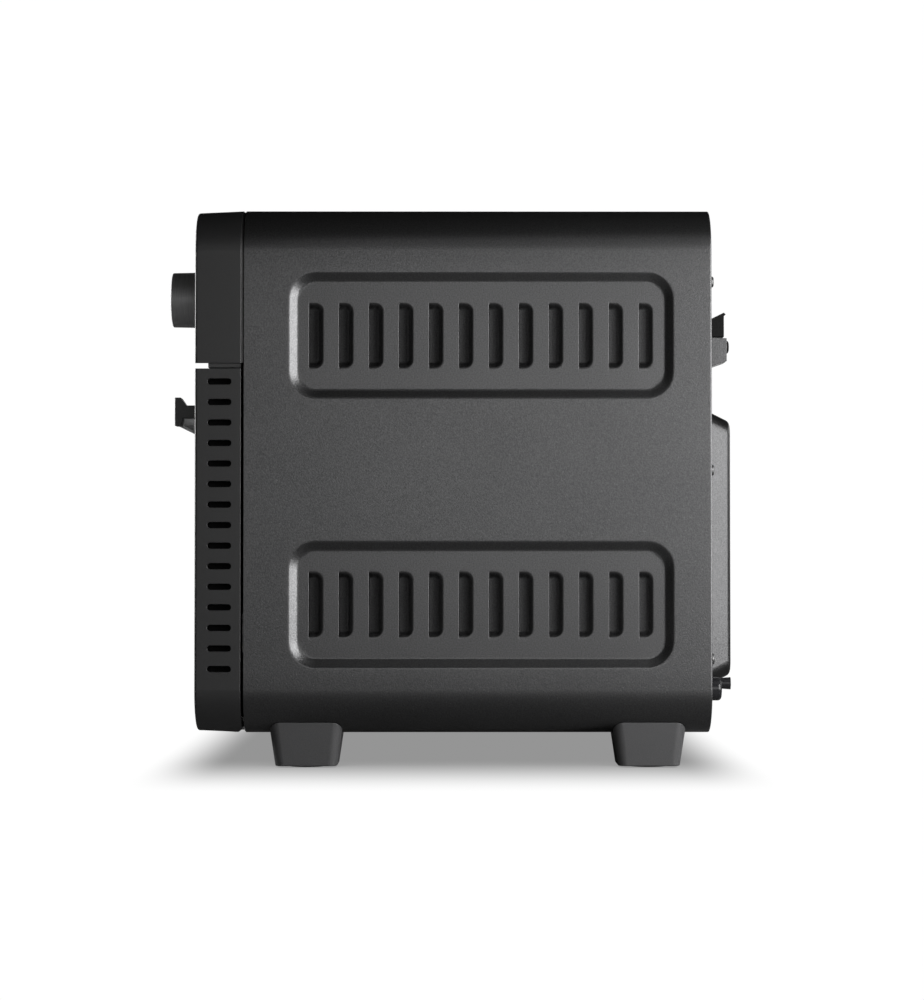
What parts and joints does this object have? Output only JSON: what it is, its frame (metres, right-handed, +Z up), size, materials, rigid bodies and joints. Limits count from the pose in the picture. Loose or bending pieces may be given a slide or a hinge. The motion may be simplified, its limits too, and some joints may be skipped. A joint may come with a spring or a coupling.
{
  "type": "toaster oven",
  "caption": "Countertop convection toaster oven: dark steel wrap with pressed louvre panels, drop-down glass door, top control panel with knobs and buttons, wire rack, moulded feet.",
  "frame": {"origin": "on the table, midway across the width and midway between the knob faces and the wall bumper tips", "axes": "+Z up, -Y towards the front (door), +X towards the oven's right side as a user faces it"},
  "size_m": [0.42, 0.3652, 0.3525],
  "materials": {
    "powder_coat": "fine textured powder coat",
    "black_plastic": "fine moulded grain",
    "gloss_black": "smooth",
    "dark_metal": "satin, dark",
    "aluminised_steel": "plain rolled",
    "black_enamel": "smooth enamel",
    "steel": "plain",
    "chrome_wire": "polished",
    "tinted_glass": "clear, dark tint",
    "clear_glass": "clear",
    "silicone": "matt",
    "rubber": "matt",
    "ceramic": "unglazed",
    "heater_sheath": "heat darkened",
    "circuit_board": "lacquered board",
    "terminal_plastic": "moulded",
    "fibre": "needled fibre mat",
    "screw_steel": "black oxide"
  },
  "bodies": {
    "housing": {"outer_wrap": "powder_coat", "rear_panel": "powder_coat", "motor_cover": "powder_coat", "wall_spacers": "powder_coat", "base_pan": "aluminised_steel", "front_frame": "black_enamel", "cord_hooks": "black_plastic", "wall_bumpers": "rubber", "cord_gland": "black_plastic", "terminal_block": "terminal_plastic", "foot_pads": "rubber", "control_panel": "black_plastic", "display_window": "tinted_glass", "control_board": "circuit_board", "encoders": "steel", "cavity_liner": "aluminised_steel", "rack_rails": "steel", "crumb_tray": "steel", "upper_heaters": "heater_sheath", "lower_heaters": "heater_sheath", "heater_caps": "ceramic", "insulation_blanket": "fibre", "door_gasket": "silicone", "fan_guard": "aluminised_steel", "motor_bracket": "steel", "fan_motor": "steel", "lamp_lens": "clear_glass", "lamp_socket": "ceramic", "temperature_probe": "steel", "power_board": "circuit_board", "rear_screws": "screw_steel", "body_screws": "screw_steel", "hinge_brackets": "steel", "door_springs": "steel", "foot_front_left": "black_plastic", "foot_front_right": "black_plastic", "foot_rear_left": "black_plastic", "foot_rear_right": "black_plastic"},
    "door": {"door_frame": "black_plastic", "door_inner_panel": "black_enamel", "door_glass_outer": "tinted_glass", "door_glass_inner": "clear_glass", "handle_bar": "dark_metal", "handle_brackets": "black_plastic", "hinge_pins": "steel", "door_arms": "steel", "rack_magnets": "black_plastic", "door_screws": "screw_steel"},
    "rack": {"wire_rack": "chrome_wire"},
    "fan": {"fan_shaft": "steel", "fan_blade": "steel", "cooling_fan": "steel"},
    "left_knob": {"knob_left": "dark_metal", "knob_shaft_left": "steel"},
    "right_knob": {"knob_right": "dark_metal", "knob_shaft_right": "steel"},
    "key_1": {"button_1": "gloss_black"},
    "key_2": {"button_2": "gloss_black"},
    "key_3": {"button_3": "gloss_black"},
    "key_4": {"button_4": "gloss_black"}
  },
  "joints": [
    {"name": "door_hinge", "type": "hinge", "parent": "housing", "child": "door", "pos_m": [0, -0.1367, 0.0265], "axis": [1, 0, 0], "range_deg": [0, 82]},
    {"name": "rack_slide", "type": "slide", "parent": "housing", "child": "rack", "axis": [0, -1, 0], "range_m": [0, 0.086]},
    {"name": "fan_spin", "type": "hinge", "parent": "housing", "child": "fan", "pos_m": [0, 0.1111, 0.143], "axis": [0, 1, 0], "continuous": true},
    {"name": "left_knob_turn", "type": "hinge", "parent": "housing", "child": "left_knob", "pos_m": [-0.13, -0.1606, 0.3012], "axis": [0, -1, 0], "continuous": true},
    {"name": "right_knob_turn", "type": "hinge", "parent": "housing", "child": "right_knob", "pos_m": [0.13, -0.1606, 0.3012], "axis": [0, -1, 0], "continuous": true},
    {"name": "button_1_press", "type": "slide", "parent": "housing", "child": "key_1", "axis": [0, 1, 0], "range_m": [0, 0.0008], "stiffness_N_per_m": 1200, "springref_m": -0.0005},
    {"name": "button_2_press", "type": "slide", "parent": "housing", "child": "key_2", "axis": [0, 1, 0], "range_m": [0, 0.0008], "stiffness_N_per_m": 1200, "springref_m": -0.0005},
    {"name": "button_3_press", "type": "slide", "parent": "housing", "child": "key_3", "axis": [0, 1, 0], "range_m": [0, 0.0008], "stiffness_N_per_m": 1200, "springref_m": -0.0005},
    {"name": "button_4_press", "type": "slide", "parent": "housing", "child": "key_4", "axis": [0, 1, 0], "range_m": [0, 0.0008], "stiffness_N_per_m": 1200, "springref_m": -0.0005}
  ],
  "couplings": [
    {"joint": "rack_slide", "follows": "door_hinge", "m_per_rad": 0.06}
  ]
}
